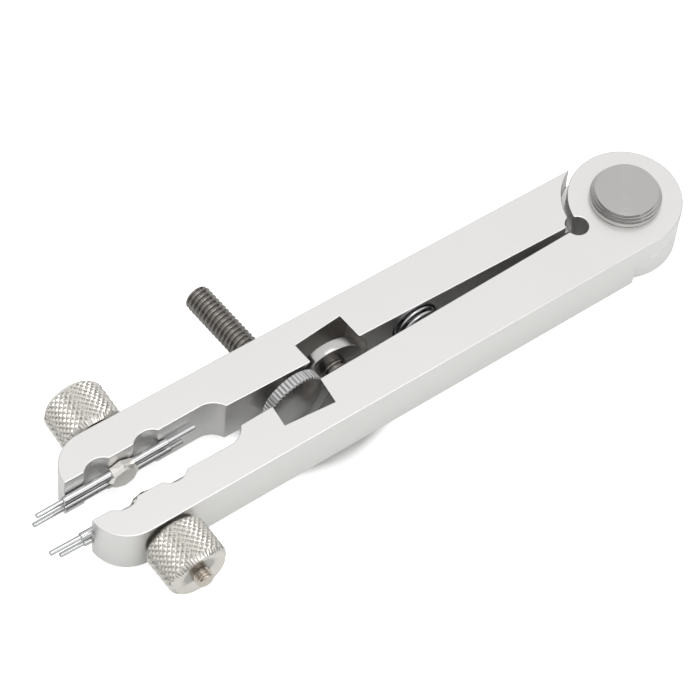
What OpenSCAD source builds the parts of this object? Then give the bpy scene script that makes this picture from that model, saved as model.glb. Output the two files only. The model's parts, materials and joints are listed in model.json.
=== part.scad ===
// Spring-bar pliers with two hinged flat arms, made for changing bracelet pins.
// Units are millimetres, +Z up. The origin is the pivot axis on the underside foot.
// +X runs along the arms to the tips, +Y to the right arm, -Y to the left arm.
// "s" values run along a tilted screw axis, outward from the arms' closing plane.

/* [Arms] */
// closing plane to the pivot side end of the jaw recess
jaw_start = 67.75; // [67:0.05:68]
// length from the pivot axis to the front face
arm_len = 89.05; // [86:0.05:94]
// thickness of the bar the arms are cut from
arm_t = 8.0; // [7:0.1:10]
// radius of the round pivot end
eye_r = 8.0; // [7:0.1:9]
// taper of the outer face in degrees
outer_taper = 0.9; // [0.5:0.1:1.5]
// angle each arm stands open at rest, in degrees
arm_open = 1.35; // [1.2:0.05:1.6]
// distance of the inner face from the closing plane
inner_gap = 0.18; // [0.1:0.01:0.3]
// radius of the front outer corner
nose_r = 5.4; // [5.4:0.1:5.5]
// radius of the relief hole where the arms part
relief_r = 1.5; // [1:0.1:1.8]
// distance of the relief hole from the pivot axis
relief_x = 8.3; // [8:0.1:9]
// clearance radius of the halved lap joint
lap_r = 8.8; // [8.5:0.1:9.5]
// gap between the two lap faces
lap_gap = 0.05; // [0.02:0.01:0.1]

/* [Jaw] */
// height of the jaw land over the closing plane, pivot side
land_y0 = 1.9; // [1.7:0.05:2.2]
// height of the jaw land over the closing plane, front
land_y1 = 1.15; // [1:0.05:1.4]
// radius of the hollow that leads into the recess
hollow_r = 3.2; // [3:0.1:3.5]
// radius of the two scallops beside the clamp
scallop_r = 2.5; // [2:0.1:3]
// depth of the scallops below the land
scallop_d = 0.9; // [0.7:0.05:1.2]
// position of the rear scallop
scallop_x0 = 76.3; // [76:0.1:76.6]
// position of the front scallop
scallop_x1 = 84.0; // [83.8:0.1:84.5]

/* [Pivot] */
// radius of the pivot shank
pivot_r = 2.5; // [2:0.1:3]
// radius of the pivot head
head_r = 5.0; // [4:0.1:6]
// height of the pivot head
head_h = 1.9; // [1.5:0.05:3]
// width of the bevel round the pivot head
head_c = 0.65; // [0.4:0.05:1]
// height of the bevel round the pivot head
head_b = 1.1; // [0.5:0.05:1.2]
// radius of the foot of the pivot screw
foot_r = 4.5; // [4:0.1:5]
// height of the foot of the pivot screw
foot_h = 1.2; // [1:0.1:2]

/* [Adjusting screw] */
// distance of the rod axis along the left arm
rod_x = 55.45; // [55.2:0.05:55.8]
// radius of the M4 rod
rod_r = 1.95; // [1.9:0.01:1.96]
// outer end of the rod
rod_s = 19.46; // [12:0.02:24]
// radius of the knurled wheel
wheel_r = 4.65; // [4:0.05:4.65]
// thickness of the knurled wheel
wheel_t = 1.76; // [1.5:0.02:2]
// inner side of the wheel, measured from the closing plane
wheel_s = 0.565; // [0.5:0.005:0.7]

/* [Stop disc] */
// distance of the stop stud axis along the right arm
stud_x = 48.13; // [47.9:0.01:48.3]
// outer end of the stop stud inside the right arm
stud_s = 5.7; // [4:0.1:6]
// radius of the smooth disc
disc_r = 4.5; // [4.3:0.05:4.9]
// thickness of the smooth disc
disc_t = 1.63; // [1.4:0.01:1.8]
// outer side of the disc, measured from the closing plane
disc_s = 2.04; // [2:0.01:2.2]

/* [Pockets] */
// radius of the round pockets for wheel and disc
pocket_r = 5.5; // [5.2:0.05:5.8]
// depth of the pockets below the closing plane
pocket_d = 3.85; // [3.6:0.05:4.2]
// position of the pocket in the left arm
pocket_left_x = 47.7; // [47.5:0.05:48]
// position of the pocket in the right arm
pocket_right_x = 55.9; // [55.7:0.05:56.2]
// tilt of the screw axes toward the tips in degrees
tilt = 6; // [5.5:0.1:6.5]

/* [Spring] */
// position of the opening spring
spring_x = 34.6; // [30:0.1:38]
// outer radius of the spring
spring_r = 3.2; // [2.8:0.05:3.3]
// radius of the spring wire
wire_r = 0.28; // [0.2:0.01:0.35]
// radius of the spring pockets
seat_r = 3.5; // [3.4:0.05:3.7]
// depth of the spring pockets below the closing plane
seat_d = 4.6; // [4:0.1:5]

/* [Clamps and nuts] */
// distance of the clamp axis along each arm
clamp_x = 80.6; // [80.2:0.1:80.8]
// how much deeper the right clamp and its pins are let into their arm
clamp_sink = 0.48; // [0.45:0.01:0.5]
// radius of the clamp stud
stud_r = 1.25; // [1:0.01:1.26]
// radius of the clamp head
clamp_r = 2.3; // [2:0.05:2.4]
// inner side of the right clamp head over the closing plane
clamp_in = 0.26; // [0.24:0.01:0.4]
// underside of the right clamp head over the closing plane
clamp_base = 1.81; // [1.7:0.01:1.82]
// radius of the thumb nut
nut_r = 4.5; // [4:0.05:4.6]
// inner side of the thumb nut
nut_y0 = 7.05; // [7:0.05:7.4]
// outer side of the thumb nut
nut_y1 = 13.8; // [12:0.1:15]
// chamfer of the thumb nut
nut_c = 0.7; // [0.4:0.1:1]
// outer end of the right clamp stud
stud_end = 15.2; // [15:0.1:16.5]

/* [Pins] */
// radius of the thick middle of a pin
pin_r = 0.55; // [0.45:0.01:0.56]
// radius of the thin ends of a pin
tip_r = 0.35; // [0.25:0.01:0.4]
// distance of the right pins' axes from the jaw land
pin_off = 0.12; // [0.1:0.01:0.2]
// distance between the two pins of an arm
pin_gap = 1.85; // [1.8:0.05:2.1]

/* [Hidden] */
$fn = 64;
fit = 0.05;          // radial clearance of turning and sliding pieces
over = 0.5;          // how far a cutter runs past the solid it cuts
mid_z = foot_h + arm_t / 2;
top_z = foot_h + arm_t;
land_slope = atan((land_y0 - land_y1) / (arm_len - jaw_start));
nose_x = arm_len - nose_r;
front_y = outer_y(nose_x) - nose_r / cos(outer_taper);
hollow_y = land_y0 - hollow_r;
screw_h = 4.5;       // engagement of the pivot screw
screw_r = 1.5;       // radius of the M3 pivot screw
key_r = 0.6;         // two key holes in the foot of the pivot screw
key_y = 2.8;
key_d = 0.8;
dome_h = 0.5;        // rounded outer end of the rod
wheel_cap = 0.4;     // closed inner face of the wheel
wheel_c = 0.12;      // edge break of the wheel
disc_cap = 0.5;      // closed outer face of the disc
disc_c = 0.1;        // edge break of the disc
bore_depth = 6.0;    // depth of the threaded stud hole
clamp_c = 0.35;      // chamfer of the clamp head
stud_c = 0.4;        // chamfer of the clamp stud end
tip_c = 0.1;         // edge break of the thin pin ends
proud = 0.005;       // stands the nose out a hair, so its circle crosses the faces
groove_x = 66.0;     // pivot side end of the pin grooves in the jaw land
spring_free = 1.1;   // room left for closing at the right end of the spring

function outer_y(x) = eye_r / cos(outer_taper) - x * tan(outer_taper);
function land_y(x) = land_y0 - (x - jaw_start) * tan(land_slope);

// Moves a part drawn in the closed right arm to its place at rest.
module right_side() {
    rotate([0, 0, arm_open]) translate([0, 0, mid_z]) children();
}

// Moves a part drawn in the same closed frame over to the left arm.
module left_side() {
    rotate([0, 0, -arm_open]) mirror([0, 1, 0]) translate([0, 0, mid_z]) children();
}

// Turns +Z of the children into the tilted outward screw direction at x.
module screw_axis(x) {
    translate([x, 0, 0]) rotate([-90, 0, -tilt]) children();
}

// Turns +Z of the children into the outward direction at x.
module out_axis(x) {
    translate([x, 0, 0]) rotate([-90, 0, 0]) children();
}

module blade_outline() {
    difference() {
        union() {
            polygon([[0, inner_gap], [jaw_start, inner_gap], [jaw_start, land_y0],
                [arm_len, land_y1], [arm_len, front_y], [nose_x, front_y],
                [nose_x + nose_r * sin(outer_taper), front_y + nose_r * cos(outer_taper)],
                [eye_r * sin(outer_taper), eye_r * cos(outer_taper)], [0, eye_r - over]]);
            translate([nose_x, front_y]) circle(nose_r + proud);
        }
        polygon([[jaw_start, land_y0], [arm_len + over, land_y(arm_len + over)],
            [arm_len + over, -eye_r], [jaw_start, -eye_r]]);
        translate([jaw_start, hollow_y]) circle(hollow_r);
        for (x = [scallop_x0, scallop_x1])
            translate([x, land_y(x) - scallop_r + scallop_d]) circle(scallop_r);
    }
}

// One arm in the closed frame; half = 1 keeps the top of the eye and lets the clamp in,
// half = -1 keeps the bottom of the eye and leaves the jaw land flat.
module arm(half, pocket_x) {
    difference() {
        translate([0, 0, -arm_t / 2]) linear_extrude(arm_t) union() {
            circle(eye_r);
            blade_outline();
        }
        lap_z = (half > 0) ? -arm_t / 2 - over : -lap_gap / 2;
        translate([0, 0, lap_z]) cylinder(h = arm_t / 2 + over + lap_gap / 2, r = lap_r);
        translate([relief_x, 0, -arm_t]) cylinder(h = 2 * arm_t, r = relief_r);
        translate([0, 0, -arm_t]) cylinder(h = 2 * arm_t, r = pivot_r + (half > 0 ? fit : 0));
        screw_axis(pocket_x) translate([0, 0, -arm_t]) cylinder(h = arm_t + pocket_d, r = pocket_r);
        out_axis(spring_x) cylinder(h = seat_d, r = seat_r);
        out_axis(clamp_x) cylinder(h = eye_r + over, r = stud_r + fit);
        if (half > 0) {
            out_axis(clamp_x) cylinder(h = clamp_base + fit, r = clamp_r + fit);
            for (level = [-1, 1]) pin_axis(level) translate([0, 0, groove_x - clamp_x])
                cylinder(h = arm_len + over - groove_x, r = pin_r + fit);
        }
    }
}

module left_arm() {
    color([0.86, 0.85, 0.84]) difference() {
        left_side() arm(-1, pocket_left_x);
        left_side() screw_axis(rod_x) translate([0, 0, -over])
            cylinder(h = eye_r + 2 * over, r = rod_r + fit);
    }
}

module right_arm() {
    color([0.86, 0.85, 0.84]) difference() {
        right_side() arm(1, pocket_right_x);
        right_side() screw_axis(stud_x) translate([0, 0, -over])
            cylinder(h = bore_depth + over, r = rod_r);
    }
}

module pivot_pin() {
    color([0.55, 0.55, 0.56]) difference() {
        union() {
            translate([0, 0, foot_h]) cylinder(h = arm_t, r = pivot_r);
            translate([0, 0, top_z + lap_gap]) cylinder(h = head_h - head_b - lap_gap, r = head_r);
            translate([0, 0, top_z]) cylinder(h = head_h - head_b, r = pivot_r);
            translate([0, 0, top_z + head_h - head_b])
                cylinder(h = head_b, r1 = head_r, r2 = head_r - head_c);
        }
        translate([0, 0, foot_h - over]) cylinder(h = screw_h + over, r = screw_r);
    }
}

module pivot_screw() {
    color([0.5, 0.5, 0.52]) difference() {
        union() {
            cylinder(h = foot_h, r = foot_r);
            cylinder(h = foot_h + screw_h - over, r = screw_r);
        }
        for (y = [-key_y, key_y])
            translate([0, y, -over]) cylinder(h = key_d + over, r = key_r);
    }
}

module opening_spring() {
    low = -spring_x * sin(arm_open) - seat_d * cos(arm_open);
    color([0.75, 0.75, 0.76]) left_side() out_axis(spring_x) difference() {
        translate([0, 0, 2 * low + seat_d + spring_free])
            cylinder(h = -2 * low - spring_free, r = spring_r);
        translate([0, 0, 2 * low]) cylinder(h = -4 * low, r = spring_r - 2 * wire_r);
    }
}

module adjusting_rod() {
    color([0.3, 0.3, 0.31]) left_side() screw_axis(rod_x) {
        near = -wheel_s - wheel_t + wheel_cap + fit;
        translate([0, 0, near]) cylinder(h = rod_s - dome_h - near, r = rod_r);
        translate([0, 0, rod_s - dome_h]) cylinder(h = dome_h, r1 = rod_r, r2 = rod_r - dome_h);
    }
}

module adjusting_wheel() {
    color([0.45, 0.45, 0.46]) left_side() screw_axis(rod_x)
        translate([0, 0, -wheel_s - wheel_t]) difference() {
            union() {
                cylinder(h = wheel_c, r1 = wheel_r - wheel_c, r2 = wheel_r);
                translate([0, 0, wheel_c]) cylinder(h = wheel_t - 2 * wheel_c, r = wheel_r);
                translate([0, 0, wheel_t - wheel_c])
                    cylinder(h = wheel_c, r1 = wheel_r, r2 = wheel_r - wheel_c);
            }
            translate([0, 0, wheel_cap]) cylinder(h = wheel_t, r = rod_r + fit);
        }
}

module stop_stud() {
    near = -disc_s - disc_t + disc_cap;
    color([0.3, 0.3, 0.31]) right_side() screw_axis(stud_x)
        translate([0, 0, near]) cylinder(h = stud_s - near, r = rod_r);
}

module stop_disc() {
    color([0.7, 0.7, 0.71]) right_side() screw_axis(stud_x)
        translate([0, 0, -disc_s - disc_t]) difference() {
            union() {
                cylinder(h = disc_c, r1 = disc_r - disc_c, r2 = disc_r);
                translate([0, 0, disc_c]) cylinder(h = disc_t - 2 * disc_c, r = disc_r);
                translate([0, 0, disc_t - disc_c])
                    cylinder(h = disc_c, r1 = disc_r, r2 = disc_r - disc_c);
            }
            translate([0, 0, disc_cap]) cylinder(h = disc_t, r = rod_r);
        }
}

// Moves the clamp and its pins out of the right arm's seat onto a flat jaw land.
module on_land() {
    translate([0, -clamp_sink, 0]) children();
}

// Axis of a pin: +Z of the children runs to the front, at the clamp.
module pin_axis(level) {
    translate([clamp_x, land_y(clamp_x) - pin_off / cos(land_slope), level * pin_gap / 2])
        rotate([0, 90, -land_slope]) children();
}

module clamp() {
    difference() {
        union() {
            out_axis(clamp_x) translate([0, 0, clamp_in])
                cylinder(h = clamp_c, r1 = clamp_r - clamp_c, r2 = clamp_r);
            out_axis(clamp_x) translate([0, 0, clamp_in + clamp_c])
                cylinder(h = clamp_base - clamp_in - clamp_c, r = clamp_r);
            out_axis(clamp_x) translate([0, 0, clamp_base - clamp_c])
                cylinder(h = stud_end - stud_c - clamp_base + clamp_c, r = stud_r);
            out_axis(clamp_x) translate([0, 0, stud_end - stud_c])
                cylinder(h = stud_c, r1 = stud_r, r2 = stud_r - stud_c);
        }
        for (level = [-1, 1]) pin_axis(level)
            translate([0, 0, -2 * clamp_r]) cylinder(h = 4 * clamp_r, r = pin_r + fit);
    }
}

module left_clamp() {
    color([0.8, 0.8, 0.8]) left_side() on_land() clamp();
}

module right_clamp() {
    color([0.8, 0.8, 0.8]) right_side() clamp();
}

module thumb_nut() {
    out_axis(clamp_x) difference() {
        union() {
            translate([0, 0, nut_y0]) cylinder(h = nut_c, r1 = nut_r - nut_c, r2 = nut_r);
            translate([0, 0, nut_y0 + nut_c])
                cylinder(h = nut_y1 - nut_y0 - 2 * nut_c, r = nut_r);
            translate([0, 0, nut_y1 - nut_c]) cylinder(h = nut_c, r1 = nut_r, r2 = nut_r - nut_c);
        }
        cylinder(h = nut_y1 + over, r = stud_r + fit);
    }
}

module left_thumb_nut() {
    color([0.78, 0.77, 0.74]) left_side() thumb_nut();
}

module right_thumb_nut() {
    color([0.78, 0.77, 0.74]) right_side() thumb_nut();
}

// One pin: thick from x_back to x_front, thin ends out to x_rear and x_tip.
module pin(level, x_rear, x_back, x_front, x_tip) {
    color([0.7, 0.7, 0.7]) pin_axis(level) {
        translate([0, 0, x_back - clamp_x]) cylinder(h = x_front - x_back, r = pin_r);
        translate([0, 0, x_rear - clamp_x + tip_c])
            cylinder(h = x_tip - x_rear - 2 * tip_c, r = tip_r);
        translate([0, 0, x_rear - clamp_x]) cylinder(h = tip_c, r1 = tip_r - tip_c, r2 = tip_r);
        translate([0, 0, x_tip - clamp_x - tip_c])
            cylinder(h = tip_c, r1 = tip_r, r2 = tip_r - tip_c);
    }
}

module left_upper_pin() {
    left_side() on_land() pin(1, 69.0, 73.3, 89.7, 93.8);
}

module left_lower_pin() {
    left_side() on_land() pin(-1, 71.0, 72.9, 89.6, 94.3);
}

module right_upper_pin() {
    right_side() pin(1, 70.0, 74.3, 90.7, 95.3);
}

module right_lower_pin() {
    right_side() pin(-1, 70.6, 73.0, 90.3, 93.8);
}

left_arm();
right_arm();
pivot_pin();
pivot_screw();
opening_spring();
adjusting_rod();
adjusting_wheel();
stop_stud();
stop_disc();
left_clamp();
right_clamp();
left_thumb_nut();
right_thumb_nut();
left_upper_pin();
left_lower_pin();
right_upper_pin();
right_lower_pin();
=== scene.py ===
"""Looks of the spring-bar pliers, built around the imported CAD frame.

All lengths are metres in the row frame: the origin is the pivot axis at the foot's
underside, +X runs to the tips, +Y to the right arm and +Z up the pivot.
"""

import json
import logging
import math
from dataclasses import dataclass, field
from enum import Enum
from typing import Callable, Sequence

import bpy
from mathutils import Matrix, Vector

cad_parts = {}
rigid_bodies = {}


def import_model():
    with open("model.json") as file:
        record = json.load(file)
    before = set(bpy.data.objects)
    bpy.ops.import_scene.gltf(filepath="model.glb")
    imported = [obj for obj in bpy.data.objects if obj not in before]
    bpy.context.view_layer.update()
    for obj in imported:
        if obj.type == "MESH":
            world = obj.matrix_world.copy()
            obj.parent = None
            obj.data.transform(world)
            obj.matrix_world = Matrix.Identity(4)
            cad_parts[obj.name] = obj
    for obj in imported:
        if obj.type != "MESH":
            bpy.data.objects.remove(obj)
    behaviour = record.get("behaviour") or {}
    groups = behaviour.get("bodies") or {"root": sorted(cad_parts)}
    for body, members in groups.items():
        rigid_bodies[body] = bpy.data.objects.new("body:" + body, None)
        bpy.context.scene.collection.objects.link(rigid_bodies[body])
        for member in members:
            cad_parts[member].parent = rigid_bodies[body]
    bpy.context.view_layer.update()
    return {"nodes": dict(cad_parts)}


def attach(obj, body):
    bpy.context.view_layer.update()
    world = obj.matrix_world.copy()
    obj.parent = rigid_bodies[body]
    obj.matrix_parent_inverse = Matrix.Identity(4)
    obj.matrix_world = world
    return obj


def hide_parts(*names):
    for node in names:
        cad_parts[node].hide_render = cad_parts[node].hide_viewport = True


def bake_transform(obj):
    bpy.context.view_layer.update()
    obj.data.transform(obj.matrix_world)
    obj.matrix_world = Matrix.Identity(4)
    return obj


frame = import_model()

LOG = logging.getLogger("pliers")
MM = 0.001
TAU = 2.0 * math.pi
DOME_FULLNESS = 0.96  # share of a full quarter circle that a rounded rod end keeps

Profile = Sequence[tuple[float, float]]
RadiusAt = Callable[[float, float], float]


class Side(Enum):
    """Which arm a piece belongs to; the value is the sign of its Y."""

    LEFT = -1
    RIGHT = 1

    @property
    def word(self) -> str:
        """The side's name as the CAD nodes spell it."""
        return self.name.lower()


class Level(Enum):
    """Which of an arm's two pins; the value is the sign of its height."""

    UPPER = 1
    LOWER = -1

    @property
    def word(self) -> str:
        """The level's name as the CAD nodes spell it."""
        return self.name.lower()


@dataclass(frozen=True)
class Layout:
    """Shared sizes of the tool, in millimetres and degrees."""

    arm_open: float = 1.35
    tilt: float = 6.0
    mid_z: float = 5.2
    top_z: float = 9.2
    jaw_start: float = 67.75
    arm_len: float = 89.05
    land_y0: float = 1.9
    land_y1: float = 1.15
    clamp_x: float = 80.6
    right_sink: float = 0.48
    pin_off: float = 0.12
    pin_gap: float = 1.85

    @property
    def land_slope(self) -> float:
        """Slope of the jaw land in radians."""
        return math.atan((self.land_y0 - self.land_y1) / (self.arm_len - self.jaw_start))

    def land_y(self, x: float) -> float:
        """Height of the jaw land over the closing plane at x, in millimetres."""
        return self.land_y0 - (x - self.jaw_start) * math.tan(self.land_slope)

    def shallow(self, side: Side) -> float:
        """How much shallower than the right arm's a side's clamp sits, in millimetres."""
        return self.right_sink if side is Side.LEFT else 0.0

    def place(self, side: Side, x: float, y: float, z: float = 0.0) -> Vector:
        """Moves a point of the closed arm frame to its place at rest.

        Args:
            side: The arm the point belongs to.
            x: Distance along the arm in millimetres.
            y: Distance outward from the closing plane in millimetres.
            z: Height over the arm's middle plane in millimetres.

        Returns:
            The point in the row frame, in metres.
        """
        turn = Matrix.Rotation(math.radians(self.arm_open) * side.value, 3, "Z")
        point = turn @ Vector((x, y * side.value, 0.0))
        return Vector((point.x, point.y, self.mid_z + z)) * MM

    def direction(self, side: Side, angle: float) -> Vector:
        """Turns an angle of the closed arm frame into a direction at rest.

        Args:
            side: The arm the direction belongs to.
            angle: Angle from the arm's length toward its outside, in radians.

        Returns:
            A unit vector in the row frame.
        """
        full = (angle + math.radians(self.arm_open)) * side.value
        return Vector((math.cos(full), math.sin(full), 0.0))


LAYOUT = Layout()


@dataclass(frozen=True)
class Axis:
    """A turning axis: a start point and the unit direction that +Z maps to."""

    origin: Vector
    along: Vector

    def matrix(self) -> Matrix:
        """The matrix from the piece's own frame, +Z along the axis, to the row frame."""
        z = self.along.normalized()
        seed = Vector((0.0, 0.0, 1.0)) if abs(z.z) < 0.9 else Vector((1.0, 0.0, 0.0))
        x = (seed - z * seed.dot(z)).normalized()
        y = z.cross(x)
        turn = Matrix((x, y, z)).transposed().to_4x4()
        return Matrix.Translation(self.origin) @ turn


# ---------------------------------------------------------------- node groups


def socket(group: bpy.types.NodeTree, name: str, kind: str, value: float | None = None,
           out: bool = False) -> None:
    """Adds one socket to a node group's interface."""
    side = "OUTPUT" if out else "INPUT"
    made = group.interface.new_socket(name=name, in_out=side, socket_type=kind)
    if value is not None:
        made.default_value = value


def math_node(tree: bpy.types.NodeTree, kind: str, first: object, second: object = None,
              clamp: bool = False) -> bpy.types.NodeSocket:
    """Adds a Math node fed by sockets or plain numbers and returns its output."""
    node = tree.nodes.new("ShaderNodeMath")
    node.operation = kind
    node.use_clamp = clamp
    for index, value in enumerate((first, second)):
        if isinstance(value, bpy.types.NodeSocket):
            tree.links.new(value, node.inputs[index])
        elif value is not None:
            node.inputs[index].default_value = value
    return node.outputs[0]


def grain_group() -> bpy.types.NodeTree:
    """Builds the fine blasted grain with a slow tone drift.

    Returns:
        A group with Vector, Scale and Drift inputs and Height and Tone outputs.
    """
    group = bpy.data.node_groups.new("blasted_grain", "ShaderNodeTree")
    socket(group, "Vector", "NodeSocketVector")
    socket(group, "Scale", "NodeSocketFloat", 9000.0)
    socket(group, "Drift", "NodeSocketFloat", 0.03)
    socket(group, "Height", "NodeSocketFloat", out=True)
    socket(group, "Tone", "NodeSocketFloat", out=True)
    given = group.nodes.new("NodeGroupInput")
    result = group.nodes.new("NodeGroupOutput")
    fine = group.nodes.new("ShaderNodeTexNoise")
    fine.inputs["Detail"].default_value = 3.0
    group.links.new(given.outputs["Vector"], fine.inputs["Vector"])
    group.links.new(given.outputs["Scale"], fine.inputs["Scale"])
    slow = group.nodes.new("ShaderNodeTexNoise")
    slow.inputs["Scale"].default_value = 90.0
    group.links.new(given.outputs["Vector"], slow.inputs["Vector"])
    centred = math_node(group, "SUBTRACT", slow.outputs["Fac"], 0.5)
    drift = math_node(group, "MULTIPLY", centred, given.outputs["Drift"])
    group.links.new(fine.outputs["Fac"], result.inputs["Height"])
    group.links.new(math_node(group, "ADD", drift, 1.0), result.inputs["Tone"])
    return group


def lathe_group() -> bpy.types.NodeTree:
    """Builds concentric turning marks around the local Z axis.

    Returns:
        A group with Vector, Pitch and Wobble inputs and a Height output.
    """
    group = bpy.data.node_groups.new("turning_marks", "ShaderNodeTree")
    socket(group, "Vector", "NodeSocketVector")
    socket(group, "Pitch", "NodeSocketFloat", 0.0002)
    socket(group, "Wobble", "NodeSocketFloat", 0.5)
    socket(group, "Height", "NodeSocketFloat", out=True)
    given = group.nodes.new("NodeGroupInput")
    result = group.nodes.new("NodeGroupOutput")
    split = group.nodes.new("ShaderNodeSeparateXYZ")
    group.links.new(given.outputs["Vector"], split.inputs[0])
    square_x = math_node(group, "MULTIPLY", split.outputs["X"], split.outputs["X"])
    square_y = math_node(group, "MULTIPLY", split.outputs["Y"], split.outputs["Y"])
    radius = math_node(group, "SQRT", math_node(group, "ADD", square_x, square_y))
    turns = math_node(group, "DIVIDE", radius, given.outputs["Pitch"])
    step = group.nodes.new("ShaderNodeTexNoise")
    step.noise_dimensions = "1D"
    step.inputs["Scale"].default_value = 1.0
    group.links.new(turns, step.inputs["W"])
    wave = math_node(group, "SINE", math_node(group, "MULTIPLY", turns, TAU))
    mixed = math_node(group, "MULTIPLY", step.outputs["Fac"], given.outputs["Wobble"])
    low = math_node(group, "MULTIPLY", wave, 0.25)
    group.links.new(math_node(group, "ADD", mixed, low), result.inputs["Height"])
    return group


def pocket_group() -> bpy.types.NodeTree:
    """Builds the mask of one round pocket's painted shade: 1 near its axis, 0 beyond its radius.

    Returns:
        A group with Vector, Centre, Along, Radius and Depth inputs and a Mask output.
    """
    group = bpy.data.node_groups.new("pocket_mask", "ShaderNodeTree")
    socket(group, "Vector", "NodeSocketVector")
    socket(group, "Centre", "NodeSocketVector")
    socket(group, "Along", "NodeSocketVector")
    socket(group, "Radius", "NodeSocketFloat", 0.0055)
    socket(group, "Depth", "NodeSocketFloat", 0.0039)
    socket(group, "Mask", "NodeSocketFloat", out=True)
    given = group.nodes.new("NodeGroupInput")
    result = group.nodes.new("NodeGroupOutput")
    offset = group.nodes.new("ShaderNodeVectorMath")
    offset.operation = "SUBTRACT"
    group.links.new(given.outputs["Vector"], offset.inputs[0])
    group.links.new(given.outputs["Centre"], offset.inputs[1])
    across = group.nodes.new("ShaderNodeVectorMath")
    across.operation = "CROSS_PRODUCT"
    group.links.new(offset.outputs[0], across.inputs[0])
    group.links.new(given.outputs["Along"], across.inputs[1])
    length = group.nodes.new("ShaderNodeVectorMath")
    length.operation = "LENGTH"
    group.links.new(across.outputs[0], length.inputs[0])
    deep = group.nodes.new("ShaderNodeVectorMath")
    deep.operation = "DOT_PRODUCT"
    group.links.new(offset.outputs[0], deep.inputs[0])
    group.links.new(given.outputs["Along"], deep.inputs[1])
    inside = math_node(group, "LESS_THAN", length.outputs["Value"], given.outputs["Radius"])
    above = math_node(group, "LESS_THAN", deep.outputs["Value"], given.outputs["Depth"])
    group.links.new(math_node(group, "MULTIPLY", inside, above), result.inputs["Mask"])
    return group


_groups: dict[str, bpy.types.NodeTree] = {}


def shared(name: str, build: Callable[[], bpy.types.NodeTree]) -> bpy.types.NodeTree:
    """Returns the named group, building it the first time."""
    if name not in _groups:
        _groups[name] = build()
    return _groups[name]


# ---------------------------------------------------------------- finishes


@dataclass(frozen=True)
class Pocket:
    """A round pocket whose walls get painted shade, a darker colour than the arm's faces."""

    centre: Vector
    along: Vector
    radius: float = 5.53 * MM
    depth: float = 3.88 * MM


@dataclass(frozen=True)
class Metal:
    """A metal finish made of a base tone, a gloss, a surface texture and painted shade on the walls
    of its pockets.
    """

    name: str
    color: tuple[float, float, float]
    roughness: float
    grain_scale: float = 9000.0
    grain_depth: float = 0.0
    drift: float = 0.03
    ring_pitch: float = 0.0
    ring_depth: float = 0.0
    # dark is the colour of the painted shade laid on the walls of the pockets below.
    dark: tuple[float, float, float] = (0.1, 0.1, 0.1)
    pockets: tuple[Pocket, ...] = ()

    def material(self) -> bpy.types.Material:
        """Builds the material.

        Returns:
            A node material whose constant values sit on the Principled sockets.
        """
        made = bpy.data.materials.new(self.name)
        made.use_nodes = True
        tree = made.node_tree
        shader = tree.nodes["Principled BSDF"]
        shader.inputs["Metallic"].default_value = 1.0
        shader.inputs["Roughness"].default_value = self.roughness
        place = tree.nodes.new("ShaderNodeTexCoord").outputs["Object"]
        grain = tree.nodes.new("ShaderNodeGroup")
        grain.node_tree = shared("grain", grain_group)
        grain.inputs["Scale"].default_value = self.grain_scale
        grain.inputs["Drift"].default_value = self.drift
        tree.links.new(place, grain.inputs["Vector"])
        color = self._tone(tree, grain.outputs["Tone"], place)
        tree.links.new(color, shader.inputs["Base Color"])
        height, depth = grain.outputs["Height"], self.grain_depth
        if self.ring_depth > 0.0:
            rings = tree.nodes.new("ShaderNodeGroup")
            rings.node_tree = shared("lathe", lathe_group)
            rings.inputs["Pitch"].default_value = self.ring_pitch
            tree.links.new(place, rings.inputs["Vector"])
            height, depth = rings.outputs["Height"], self.ring_depth
        if depth > 0.0:
            bump = tree.nodes.new("ShaderNodeBump")
            bump.inputs["Distance"].default_value = depth
            tree.links.new(height, bump.inputs["Height"])
            tree.links.new(bump.outputs["Normal"], shader.inputs["Normal"])
        return made

    def _tone(self, tree: bpy.types.NodeTree, tone: bpy.types.NodeSocket,
              place: bpy.types.NodeSocket) -> bpy.types.NodeSocket:
        """Multiplies the base colour by the drift and paints shade into the pockets.

        Args:
            tree: The material's node tree.
            tone: The drift factor around 1.
            place: The object coordinates.

        Returns:
            The colour socket for the shader.
        """
        scale = tree.nodes.new("ShaderNodeVectorMath")
        scale.operation = "SCALE"
        scale.inputs[0].default_value = self.color
        tree.links.new(tone, scale.inputs["Scale"])
        color = scale.outputs[0]
        # Painted shade: inside each pocket the colour turns to the dark tone.
        for pocket in self.pockets:
            mask = tree.nodes.new("ShaderNodeGroup")
            mask.node_tree = shared("pocket", pocket_group)
            mask.inputs["Centre"].default_value = pocket.centre
            mask.inputs["Along"].default_value = pocket.along
            mask.inputs["Radius"].default_value = pocket.radius
            mask.inputs["Depth"].default_value = pocket.depth
            tree.links.new(place, mask.inputs["Vector"])
            mix = tree.nodes.new("ShaderNodeMix")
            mix.data_type = "RGBA"
            tree.links.new(mask.outputs["Mask"], mix.inputs["Factor"])
            tree.links.new(color, mix.inputs[6])
            mix.inputs[7].default_value = (*self.dark, 1.0)
            color = mix.outputs[2]
        return color


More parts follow.
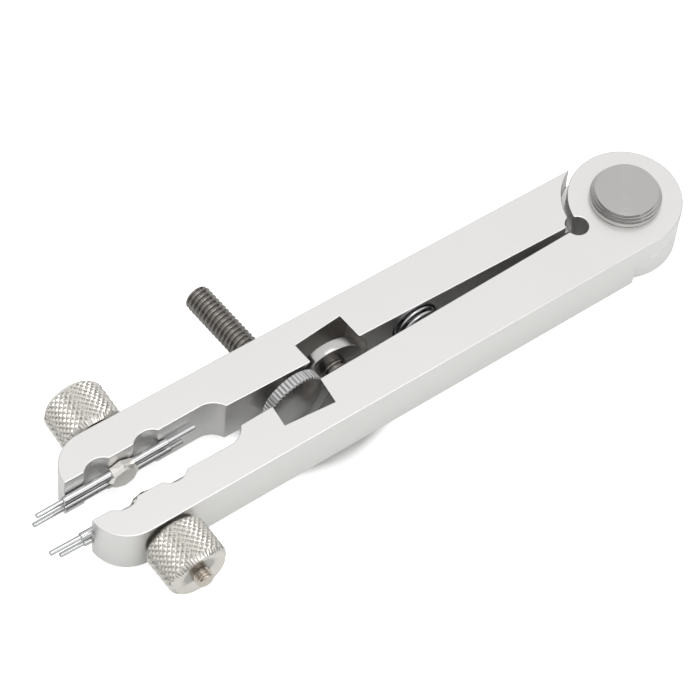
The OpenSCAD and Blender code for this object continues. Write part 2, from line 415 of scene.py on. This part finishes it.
@dataclass(frozen=True)
class Finishes:
    """Every finish of the tool."""

    pivot: Metal = Metal("pivot_steel", (0.50, 0.49, 0.48), 0.20,
                         ring_pitch=0.26 * MM, ring_depth=0.03 * MM)
    spring: Metal = Metal("spring_steel", (0.55, 0.55, 0.56), 0.22)
    dark: Metal = Metal("dark_steel", (0.30, 0.285, 0.27), 0.24)
    wheel: Metal = Metal("wheel_steel", (0.62, 0.62, 0.62), 0.25)
    disc: Metal = Metal("disc_steel", (0.56, 0.55, 0.54), 0.24)
    pin: Metal = Metal("pin_steel", (0.54, 0.545, 0.55), 0.13)
    clamp: Metal = Metal("clamp_steel", (0.88, 0.86, 0.82), 0.08)
    stud: Metal = Metal("stud_steel", (0.60, 0.55, 0.49), 0.20)
    nut: Metal = Metal("nut_satin", (0.74, 0.715, 0.67), 0.26)

    @staticmethod
    def arm(side: Side, pocket_x: float) -> Metal:
        """The satin nickel of one arm, with painted shade darkening its round pocket."""
        lean = math.radians(90.0 - LAYOUT.tilt)
        pocket = Pocket(LAYOUT.place(side, pocket_x, 0.0), LAYOUT.direction(side, lean))
        # The pocket walls take painted shade in the dark colour.
        return Metal(f"{side.word}_arm_satin", (0.80, 0.79, 0.78), 0.34,
                     grain_depth=0.006 * MM, dark=(0.60, 0.57, 0.55), pockets=(pocket,))


# ---------------------------------------------------------------- mesh builders


def mesh_object(name: str, verts: list[Vector], faces: list[tuple[int, ...]],
                axis: Axis | None = None, smooth: float = 35.0) -> bpy.types.Object:
    """Makes a mesh object from points in the axis frame.

    Args:
        name: The piece's name.
        verts: Points in metres, in the axis frame.
        faces: Vertex loops, outward by the right-hand rule.
        axis: Where +Z of the points goes; None leaves them in the row frame.
        smooth: Edges sharper than this many degrees stay sharp.

    Returns:
        The linked object.
    """
    data = bpy.data.meshes.new(name)
    data.from_pydata([tuple(v) for v in verts], [], faces)
    data.validate()
    for polygon in data.polygons:
        polygon.use_smooth = True
    data.set_sharp_from_angle(angle=math.radians(smooth))
    made = bpy.data.objects.new(name, data)
    bpy.context.scene.collection.objects.link(made)
    if axis is not None:
        made.matrix_world = axis.matrix()
    return made


def revolve(name: str, profile: Profile, axis: Axis, segments: int = 64,
            smooth: float = 25.0) -> bpy.types.Object:
    """Turns a closed-off profile of (height, radius) pairs in millimetres round +Z.

    Args:
        name: The piece's name.
        profile: Pairs from the low end to the high end, all radii over zero.
        axis: The turning axis.
        segments: Steps round the axis.
        smooth: Edges sharper than this many degrees stay sharp.

    Returns:
        The closed mesh object, with flat ends.
    """
    return turned(name, [z for z, _ in profile], lambda i, _: profile[i][1], axis,
                  segments, smooth)


def turned(name: str, heights: Sequence[float], radius: Callable[[int, float], float],
           axis: Axis, segments: int, smooth: float = 35.0) -> bpy.types.Object:
    """Makes a closed body from rings whose radius may change round the axis.

    Args:
        name: The piece's name.
        heights: Height of each ring in millimetres, rising.
        radius: Radius in millimetres of ring i at an angle in radians.
        axis: The turning axis.
        segments: Steps round the axis.
        smooth: Edges sharper than this many degrees stay sharp.

    Returns:
        The closed mesh object, with flat ends.
    """
    verts: list[Vector] = []
    for i, z in enumerate(heights):
        for k in range(segments):
            a = TAU * k / segments
            r = radius(i, a)
            verts.append(Vector((r * math.cos(a), r * math.sin(a), z)) * MM)
    faces: list[tuple[int, ...]] = []
    for i in range(len(heights) - 1):
        for k in range(segments):
            n = (k + 1) % segments
            low, high = i * segments, (i + 1) * segments
            faces.append((low + k, low + n, high + n, high + k))
    top = (len(heights) - 1) * segments
    for ring, flip in ((0, True), (top, False)):
        centre = len(verts)
        verts.append(Vector((0.0, 0.0, heights[0 if flip else -1])) * MM)
        for k in range(segments):
            n = (k + 1) % segments
            loop = (centre, ring + n, ring + k) if flip else (centre, ring + k, ring + n)
            faces.append(loop)
    return mesh_object(name, verts, faces, axis, smooth)


def triangle(phase: float) -> float:
    """A triangle wave: 0 at whole numbers, 1 half way between them."""
    part = phase % 1.0
    return 2.0 * min(part, 1.0 - part)


@dataclass(frozen=True)
class Thread:
    """A round-crested thread on a rod, in millimetres."""

    major: float
    pitch: float
    depth: float
    rows: int = 12
    segments: int = 48

    def build(self, name: str, start: float, stop: float, axis: Axis,
              dome: float = 0.3, root: float = 0.3) -> bpy.types.Object:
        """Builds the threaded rod.

        Args:
            name: The piece's name.
            start: Height of the low end.
            stop: Height of the high end.
            axis: The rod's axis.
            dome: Length over which the high end rounds off.
            root: Length over which the low end rounds off.

        Returns:
            The closed mesh object.
        """
        count = int(math.ceil((stop - start) / self.pitch * self.rows))
        heights = [start + (stop - start) * i / count for i in range(count + 1)]

        def envelope(z: float) -> float:
            """Largest radius allowed near the ends."""
            limit = self.major
            for gap, length in ((stop - z, dome), (z - start, root)):
                if length > 0.0 and gap < length:
                    part = 1.0 - gap / length
                    drop = 1.0 - math.sqrt(1.0 - DOME_FULLNESS * part * part)
                    limit = min(limit, self.major - length * drop)
            return limit

        def radius(i: int, angle: float) -> float:
            """Thread radius of one ring at one angle."""
            phase = heights[i] / self.pitch - angle / TAU
            crest = min(1.0, max(0.0, triangle(phase) * 1.35 - 0.12))
            return min(envelope(heights[i]), self.major - self.depth * (1.0 - crest))

        return turned(name, heights, radius, axis, self.segments, smooth=60.0)


@dataclass(frozen=True)
class Knurl:
    """A knurl pressed into a round rim, in millimetres."""

    teeth: int
    depth: float
    lead: float = 0.0
    per_tooth: int = 8
    sharp: float = 1.2

    def height(self, angle: float, z: float) -> float:
        """How far the surface lies under the crest at an angle and height."""
        turn = angle / TAU * self.teeth
        if self.lead <= 0.0:
            rise = triangle(turn)
        else:
            rise = min(triangle(turn + z / self.lead), triangle(turn - z / self.lead))
        return self.depth * (1.0 - min(1.0, rise * self.sharp))


# ---------------------------------------------------------------- sub-assemblies


@dataclass
class Piece:
    """Base of every sub-assembly: keeps its objects and dresses them."""

    objects: list[bpy.types.Object] = field(default_factory=list, init=False)

    def keep(self, obj: bpy.types.Object, body: str, slot: str,
             *nodes: str) -> bpy.types.Object:
        """Hangs an object on its body and hides the CAD nodes it replaces.

        Args:
            obj: The finished object.
            body: The CAD body it moves with.
            slot: The record's material slot; not used.
            *nodes: The CAD nodes it replaces.

        Returns:
            The same object.
        """
        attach(obj, body)
        if nodes:
            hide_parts(*nodes)
        self.objects.append(obj)
        return obj

    def paint(self, finish: Metal) -> None:
        """Gives every kept object one finish."""
        material = finish.material()
        for obj in self.objects:
            obj.data.materials.clear()
            obj.data.materials.append(material)


@dataclass
class Arm(Piece):
    """One flat arm: the CAD solid with its edges broken."""

    side: Side
    pocket_x: float
    edge: float = 0.16

    def build(self) -> None:
        """Breaks the edges of the CAD solid with modifiers."""
        obj = frame["nodes"][f"{self.side.word}_arm"]
        break_edges(obj, self.edge)
        self.objects.append(obj)

    def dress(self) -> None:
        """Paints the satin nickel."""
        self.paint(Finishes.arm(self.side, self.pocket_x))


def break_edges(obj: bpy.types.Object, width: float) -> None:
    """Adds the modifiers that weld, clean, bevel and shade a CAD solid.

    Args:
        obj: The CAD node's object.
        width: Width of the edge break in millimetres.
    """
    weld = obj.modifiers.new("weld", "WELD")
    weld.merge_threshold = 1e-6
    clean = obj.modifiers.new("clean", "DECIMATE")
    clean.decimate_type = "DISSOLVE"
    clean.angle_limit = math.radians(0.6)
    bevel = obj.modifiers.new("edge_break", "BEVEL")
    bevel.limit_method = "ANGLE"
    bevel.angle_limit = math.radians(40.0)
    bevel.width = width * MM
    bevel.segments = 2
    bevel.use_clamp_overlap = False
    shade = obj.modifiers.new("flat_faces", "WEIGHTED_NORMAL")
    shade.mode = "FACE_AREA"
    shade.weight = 100
    for polygon in obj.data.polygons:
        polygon.use_smooth = True


@dataclass
class Pivot(Piece):
    """The round pivot head, its shank and the foot screw under it."""

    head_r: float = 5.0
    head_h: float = 1.9
    chamfer: float = 0.65
    bevel_h: float = 1.1
    shank_r: float = 2.5
    foot_h: float = 1.2

    def build(self) -> None:
        """Turns the head and shank; the foot stays the CAD solid."""
        top = LAYOUT.top_z
        up = Axis(Vector((0.0, 0.0, 0.0)), Vector((0.0, 0.0, 1.0)))
        crest = top + self.head_h
        profile = [(self.foot_h, self.shank_r), (top + 0.05, self.shank_r),
                   (top + 0.05, self.head_r - 0.08), (top + 0.13, self.head_r),
                   (crest - self.bevel_h, self.head_r),
                   (crest, self.head_r - self.chamfer)]
        head = revolve("pivot_head", profile, up, 128, smooth=20.0)
        self.keep(head, "left_arm", "pivot_steel", "pivot_pin")
        foot = frame["nodes"]["pivot_screw"]
        break_edges(foot, 0.12)
        self.objects.append(foot)

    def dress(self) -> None:
        """Paints the turned steel."""
        self.paint(Finishes.pivot)


@dataclass
class OpeningSpring(Piece):
    """The coil spring that holds the arms apart."""

    x: float = 34.6
    outer_r: float = 3.2
    wire_r: float = 0.28
    pitch: float = 0.86
    depth: float = 4.6
    sides: int = 12
    per_turn: int = 40

    def build(self) -> None:
        """Winds the wire between the two pockets."""
        low = LAYOUT.place(Side.LEFT, self.x, self.depth)
        high = LAYOUT.place(Side.RIGHT, self.x, self.depth)
        along = (high - low).normalized()
        length = (high - low).length / MM - 2.0 * self.wire_r - 0.04
        start = low + along * (self.wire_r + 0.02) * MM
        axis = Axis(start, along)
        centre_r = self.outer_r - self.wire_r
        turns = length / self.pitch
        steps = int(turns * self.per_turn)
        verts: list[Vector] = []
        for i in range(steps + 1):
            a = TAU * turns * i / steps
            z = length * i / steps
            middle = Vector((centre_r * math.cos(a), centre_r * math.sin(a), z))
            out = Vector((math.cos(a), math.sin(a), 0.0))
            for k in range(self.sides):
                b = TAU * k / self.sides
                verts.append((middle + out * (self.wire_r * math.cos(b))
                              + Vector((0.0, 0.0, self.wire_r * math.sin(b)))) * MM)
        faces: list[tuple[int, ...]] = []
        for i in range(steps):
            for k in range(self.sides):
                n = (k + 1) % self.sides
                p, q = i * self.sides, (i + 1) * self.sides
                faces.append((p + k, p + n, q + n, q + k))
        faces.append(tuple(reversed(range(self.sides))))
        faces.append(tuple(range(steps * self.sides, (steps + 1) * self.sides)))
        matrix = axis.matrix()
        coil = mesh_object("spring_coil", [matrix @ v for v in verts],
                           [tuple(reversed(f)) for f in faces])
        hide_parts("opening_spring")
        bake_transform(coil)
        self.objects.append(coil)

    def dress(self) -> None:
        """Paints the bright wire."""
        self.paint(Finishes.spring)


@dataclass
class AdjustingScrew(Piece):
    """The threaded rod with the knurled wheel on its inner end."""

    x: float = 55.45
    rod_s: float = 19.46
    wheel_s: float = 0.565
    wheel_t: float = 1.76
    wheel_r: float = 4.65
    wheel_c: float = 0.16
    cap: float = 0.45
    thread: Thread = Thread(1.95, 0.7, 0.40, rows=14, segments=56)
    knurl: Knurl = Knurl(48, 0.26, sharp=2.6)

    def axis(self) -> Axis:
        """The screw's axis, outward from the closing plane."""
        lean = math.radians(90.0 - LAYOUT.tilt)
        return Axis(LAYOUT.place(Side.LEFT, self.x, 0.0), LAYOUT.direction(Side.LEFT, lean))

    def build(self) -> None:
        """Builds the rod and the wheel."""
        near = -self.wheel_s - self.wheel_t
        rod = self.thread.build("adjusting_thread", near + self.cap, self.rod_s, self.axis(),
                                dome=0.75, root=0.2)
        self.keep(rod, "adjusting_rod", "dark_steel", "adjusting_rod")
        heights = [near, near + 0.04, near + self.wheel_c]
        inner = near + self.wheel_t - self.wheel_c
        heights += [near + self.wheel_c + (inner - near - self.wheel_c) * i / 3 for i in (1, 2)]
        heights += [inner, near + self.wheel_t - 0.04, near + self.wheel_t]
        rim = [self.wheel_r - 0.30, self.wheel_r - 0.2, self.wheel_r, self.wheel_r,
               self.wheel_r, self.wheel_r, self.wheel_r - 0.2, self.wheel_r - 0.30]

        def radius(i: int, angle: float) -> float:
            """Rim radius with the straight knurl cut in."""
            return min(rim[i], self.wheel_r - self.knurl.height(angle, 0.0))

        wheel = turned("knurled_wheel", heights, radius, self.axis(),
                       self.knurl.teeth * self.knurl.per_tooth, smooth=28.0)
        self.keep(wheel, "adjusting_wheel", "wheel_steel", "adjusting_wheel")

    def dress(self) -> None:
        """Paints the dark rod and the brighter wheel."""
        rod, wheel = self.objects
        rod.data.materials.append(Finishes.dark.material())
        wheel.data.materials.append(Finishes.wheel.material())


@dataclass
class StopDisc(Piece):
    """The smooth disc on its stud in the right arm."""

    x: float = 48.13
    stud_s: float = 5.7
    disc_r: float = 4.5
    disc_t: float = 1.63
    disc_s: float = 2.04
    cap: float = 0.5
    thread: Thread = Thread(1.95, 0.7, 0.40, rows=14, segments=56)

    def axis(self) -> Axis:
        """The stud's axis, outward from the closing plane."""
        lean = math.radians(90.0 - LAYOUT.tilt)
        return Axis(LAYOUT.place(Side.RIGHT, self.x, 0.0), LAYOUT.direction(Side.RIGHT, lean))

    def build(self) -> None:
        """Builds the stud and the disc."""
        far = -self.disc_s - self.disc_t
        stud = self.thread.build("stop_thread", far + self.cap, self.stud_s, self.axis())
        self.keep(stud, "right_arm", "dark_steel", "stop_stud")
        r, c, s = self.disc_r, 0.12, -self.disc_s
        profile = [(far, r - c), (far + 0.04, r - 0.04), (far + c, r), (s - c, r),
                   (s - 0.04, r - 0.04), (s, r - c)]
        disc = revolve("stop_plate", profile, self.axis(), 128, smooth=40.0)
        self.keep(disc, "right_arm", "wheel_steel", "stop_disc")

    def dress(self) -> None:
        """Paints the dark stud and the satin disc."""
        stud, disc = self.objects
        stud.data.materials.append(Finishes.dark.material())
        disc.data.materials.append(Finishes.disc.material())


@dataclass
class Clamp(Piece):
    """A clamp: a bored head at the jaw and its threaded stud through the arm."""

    side: Side
    head_r: float = 2.3
    head_in: float = 0.26
    head_out: float = 1.81
    chamfer: float = 0.42
    bore_r: float = 0.6
    stud_end: float = 15.2
    thread: Thread = Thread(1.25, 0.45, 0.26, rows=12, segments=40)

    def axis(self) -> Axis:
        """The stud's axis, outward from the closing plane."""
        return Axis(LAYOUT.place(self.side, LAYOUT.clamp_x, -LAYOUT.shallow(self.side)),
                    LAYOUT.direction(self.side, math.pi / 2.0))

    def build(self) -> None:
        """Builds the head, bores it for the pins and adds the stud."""
        r, c, s = self.head_r, self.chamfer, self.head_in
        profile = [(s, r - c), (s + c, r), (self.head_out - 0.12, r),
                   (self.head_out, r - 0.12)]
        head = revolve(f"{self.side.word}_clamp_head", profile, self.axis(), 8, smooth=20.0)
        for level in Level:
            drill(head, self.bore_r, -4.0, 4.0, pin_axis(self.side, level), 32)
        body = f"{self.side.word}_clamp"
        self.keep(head, body, "pin_steel", f"{self.side.word}_clamp")
        stud = self.thread.build(f"{self.side.word}_clamp_thread", self.head_out - 0.3,
                                 self.stud_end, self.axis(), dome=0.4)
        self.keep(stud, body, "pin_steel")

    def dress(self) -> None:
        """Paints the bright head and the warmer stud."""
        head, stud = self.objects
        head.data.materials.clear()
        head.data.materials.append(Finishes.clamp.material())
        stud.data.materials.append(Finishes.stud.material())


def apply_modifiers(obj: bpy.types.Object) -> None:
    """Replaces the object's mesh by what its modifiers make of it."""
    bpy.context.view_layer.update()
    graph = bpy.context.evaluated_depsgraph_get()
    done = bpy.data.meshes.new_from_object(obj.evaluated_get(graph))
    obj.modifiers.clear()
    obj.data = done


def drill(obj: bpy.types.Object, radius: float, start: float, stop: float, axis: Axis,
          segments: int) -> None:
    """Cuts one round hole through a closed piece.

    Args:
        obj: The piece to cut.
        radius: Radius of the hole in millimetres.
        start: Where the cutter begins along its axis, in millimetres.
        stop: Where it ends.
        axis: The hole's axis.
        segments: Steps round the hole.
    """
    cutter = revolve("cutter", [(start, radius), (stop, radius)], axis, segments)
    cut = obj.modifiers.new("bore", "BOOLEAN")
    cut.operation = "DIFFERENCE"
    cut.solver = "EXACT"
    cut.object = cutter
    apply_modifiers(obj)
    bpy.data.objects.remove(cutter)


def pin_axis(side: Side, level: Level) -> Axis:
    """The axis of one pin, starting at the clamp and running to the front.

    Args:
        side: The arm.
        level: Upper or lower pin.

    Returns:
        The axis in the row frame.
    """
    slope = LAYOUT.land_slope
    y = LAYOUT.land_y(LAYOUT.clamp_x) - LAYOUT.pin_off / math.cos(slope)
    y -= LAYOUT.shallow(side)
    start = LAYOUT.place(side, LAYOUT.clamp_x, y, level.value * LAYOUT.pin_gap / 2.0)
    return Axis(start, LAYOUT.direction(side, -slope))


@dataclass
class ThumbNut(Piece):
    """A round thumb nut with a diamond knurl between two smooth chamfers."""

    side: Side
    radius: float = 4.5
    near: float = 7.05
    far: float = 13.8
    chamfer: float = 0.7
    bore_r: float = 1.3
    knurl: Knurl = Knurl(30, 0.26, lead=0.95)
    rows: int = 60

    def build(self) -> None:
        """Builds the knurled body and drills its plain bore."""
        axis = Axis(LAYOUT.place(self.side, LAYOUT.clamp_x, 0.0),
                    LAYOUT.direction(self.side, math.pi / 2.0))
        c, r = self.chamfer, self.radius
        ends = [0.0, 0.06]
        inner = [c + (self.far - self.near - 2.0 * c) * i / self.rows for i in range(self.rows + 1)]
        rise = [self.near + v for v in ends + inner]
        rise += [self.far - 0.06, self.far]
        band = len(inner)

        def radius(i: int, angle: float) -> float:
            """Body radius: chamfer at the ends, knurl on the band."""
            if i == 0 or i == band + 3:
                return r - c - 0.05
            if i == 1 or i == band + 2:
                return r - c + 0.03
            return r - self.knurl.height(angle, rise[i])

        nut = turned(f"{self.side.word}_knurled_nut", rise, radius, axis,
                     self.knurl.teeth * self.knurl.per_tooth, smooth=25.0)
        drill(nut, self.bore_r, self.near - 1.0, self.far + 1.0, axis, 48)
        name = f"{self.side.word}_thumb_nut"
        self.keep(nut, name, "nut_satin", name)

    def dress(self) -> None:
        """Paints the warm satin nickel."""
        self.paint(Finishes.nut)


@dataclass
class Pin(Piece):
    """A double-ended pin: a thick middle and two thin stepped ends."""

    side: Side
    level: Level
    rear: float
    back: float
    front: float
    tip: float
    thick_r: float = 0.55
    thin_r: float = 0.35

    def build(self) -> None:
        """Turns the pin along its axis."""
        x = LAYOUT.clamp_x
        a, b, e = self.thick_r, self.thin_r, 0.07
        profile = [(self.rear - x, b - e), (self.rear - x + e, b), (self.back - x, b),
                   (self.back - x, a - e), (self.back - x + e, a), (self.front - x - e, a),
                   (self.front - x, a - e), (self.front - x, b), (self.tip - x - e, b),
                   (self.tip - x, b - e)]
        axis = pin_axis(self.side, self.level)
        name = f"{self.side.word}_{self.level.word}_pin"
        self.keep(revolve(f"{name}_turned", profile, axis, 32), name, "pin_steel", name)

    def dress(self) -> None:
        """Paints the polished steel."""
        self.paint(Finishes.pin)


# ---------------------------------------------------------------- studio


@dataclass(frozen=True)
class Studio:
    """Floor, light and camera."""

    camera_at: tuple[float, float, float] = (0.2158, 0.2004, 0.4121)
    azimuth: float = 139.76
    elevation: float = 56.90
    roll: float = 6.30
    lens: float = 186.17

    def build(self) -> None:
        """Builds the whole studio."""
        self.floor()
        self.light()
        self.camera()

    def floor(self) -> None:
        """Lays the pale floor, lifted to white in view by a glow only the camera sees, except close
        under the pockets, where the glow fades out to leave painted shade.
        """
        data = bpy.data.meshes.new("floor")
        half = 3.0
        data.from_pydata([(-half, -half, 0.0), (half, -half, 0.0), (half, half, 0.0),
                          (-half, half, 0.0)], [], [(0, 1, 2, 3)])
        made = bpy.data.objects.new("floor", data)
        bpy.context.scene.collection.objects.link(made)
        made.location.z = -0.0005
        material = bpy.data.materials.new("floor_white")
        material.use_nodes = True
        shader = material.node_tree.nodes["Principled BSDF"]
        shader.inputs["Base Color"].default_value = (0.85, 0.86, 0.85, 1.0)
        shader.inputs["Roughness"].default_value = 0.9
        shader.inputs["Emission Color"].default_value = (1.0, 1.0, 1.0, 1.0)
        tree = material.node_tree
        path = tree.nodes.new("ShaderNodeLightPath")
        # Painted shade: the glow fades out within 8.5 to 11.5 mm of a point under the pockets, so
        # the floor seen through them stays darker.
        reach = tree.nodes.new("ShaderNodeVectorMath")
        reach.operation = "DISTANCE"
        tree.links.new(tree.nodes.new("ShaderNodeTexCoord").outputs["Object"], reach.inputs[0])
        reach.inputs[1].default_value = (0.052, 0.0, 0.0)
        beyond = math_node(tree, "SUBTRACT", reach.outputs["Value"], 8.5 * MM)
        outside_painted_shade = math_node(tree, "DIVIDE", beyond, 3.0 * MM, clamp=True)
        seen = math_node(tree, "MULTIPLY", path.outputs["Is Camera Ray"], 0.72)
        tree.links.new(math_node(tree, "MULTIPLY", seen, outside_painted_shade), shader.inputs["Emission Strength"])
        data.materials.append(material)

    def light(self) -> None:
        """Sets a bright even sky and soft panels."""
        world = bpy.data.worlds.new("studio")
        world.use_nodes = True
        back = world.node_tree.nodes["Background"]
        back.inputs["Color"].default_value = (1.0, 1.0, 1.0, 1.0)
        tree = world.node_tree
        split = tree.nodes.new("ShaderNodeSeparateXYZ")
        tree.links.new(tree.nodes.new("ShaderNodeTexCoord").outputs["Generated"], split.inputs[0])
        rise = tree.nodes.new("ShaderNodeMapRange")
        rise.interpolation_type = "SMOOTHSTEP"
        for name, value in (("From Min", 0.10), ("From Max", 0.55), ("To Min", 0.12),
                            ("To Max", 0.96)):
            rise.inputs[name].default_value = value
        tree.links.new(split.outputs["Z"], rise.inputs["Value"])
        tree.links.new(rise.outputs["Result"], back.inputs["Strength"])
        bpy.context.scene.world = world
        self.panel("panel_top", (0.05, 0.10, 0.60), (0.05, 0.0, 0.0), 0.35, 0.8)
        self.panel("panel_side", (-0.25, 0.75, 0.36), (0.05, 0.0, 0.0), 0.28, 0.6)

    def panel(self, name: str, at: tuple[float, float, float],
              to: tuple[float, float, float], size: float, power: float) -> None:
        """Hangs one soft square light.

        Args:
            name: The light's name.
            at: Where it hangs, in metres.
            to: The point it faces.
            size: Edge length in metres.
            power: Power in watts.
        """
        data = bpy.data.lights.new(name, "AREA")
        data.size = size
        data.energy = power
        made = bpy.data.objects.new(name, data)
        made.location = at
        made.rotation_euler = (Vector(to) - Vector(at)).to_track_quat("-Z", "Y").to_euler()
        bpy.context.scene.collection.objects.link(made)

    def camera(self) -> None:
        """Sets the camera at the fitted viewing angle."""
        az, el, roll = (math.radians(v) for v in (self.azimuth, self.elevation, self.roll))
        right = Vector((math.cos(az), math.sin(az), 0.0))
        back = Vector((math.sin(az) * math.cos(el), -math.cos(az) * math.cos(el), math.sin(el)))
        up = back.cross(right)
        x = right * math.cos(roll) + up * math.sin(roll)
        y = up * math.cos(roll) - right * math.sin(roll)
        data = bpy.data.cameras.new("camera")
        data.sensor_width = 36.0
        data.lens = self.lens
        data.clip_start = 0.05
        made = bpy.data.objects.new("camera", data)
        turn = Matrix((x, y, back)).transposed().to_4x4()
        made.matrix_world = Matrix.Translation(Vector(self.camera_at)) @ turn
        bpy.context.scene.collection.objects.link(made)
        bpy.context.scene.camera = made
        bpy.context.scene.view_settings.view_transform = "Standard"


def main() -> None:
    """Builds every sub-assembly in order, then the studio."""
    logging.basicConfig(level=logging.INFO, format="%(message)s")
    parts: list[Piece] = [
        Arm(Side.LEFT, 47.7), Arm(Side.RIGHT, 55.9), Pivot(), OpeningSpring(),
        AdjustingScrew(), StopDisc(), Clamp(Side.LEFT), Clamp(Side.RIGHT),
        ThumbNut(Side.LEFT), ThumbNut(Side.RIGHT),
        Pin(Side.LEFT, Level.UPPER, 69.0, 73.3, 89.7, 93.8),
        Pin(Side.LEFT, Level.LOWER, 71.0, 72.9, 89.6, 94.3),
        Pin(Side.RIGHT, Level.UPPER, 70.0, 74.3, 90.7, 95.3),
        Pin(Side.RIGHT, Level.LOWER, 70.6, 73.0, 90.3, 93.8)]
    for part in parts:
        part.build()
        part.dress()
        for obj in part.objects:
            LOG.info("%s: %s", type(part).__name__, obj.name)
    Studio().build()


if __name__ == "__main__":
    main()
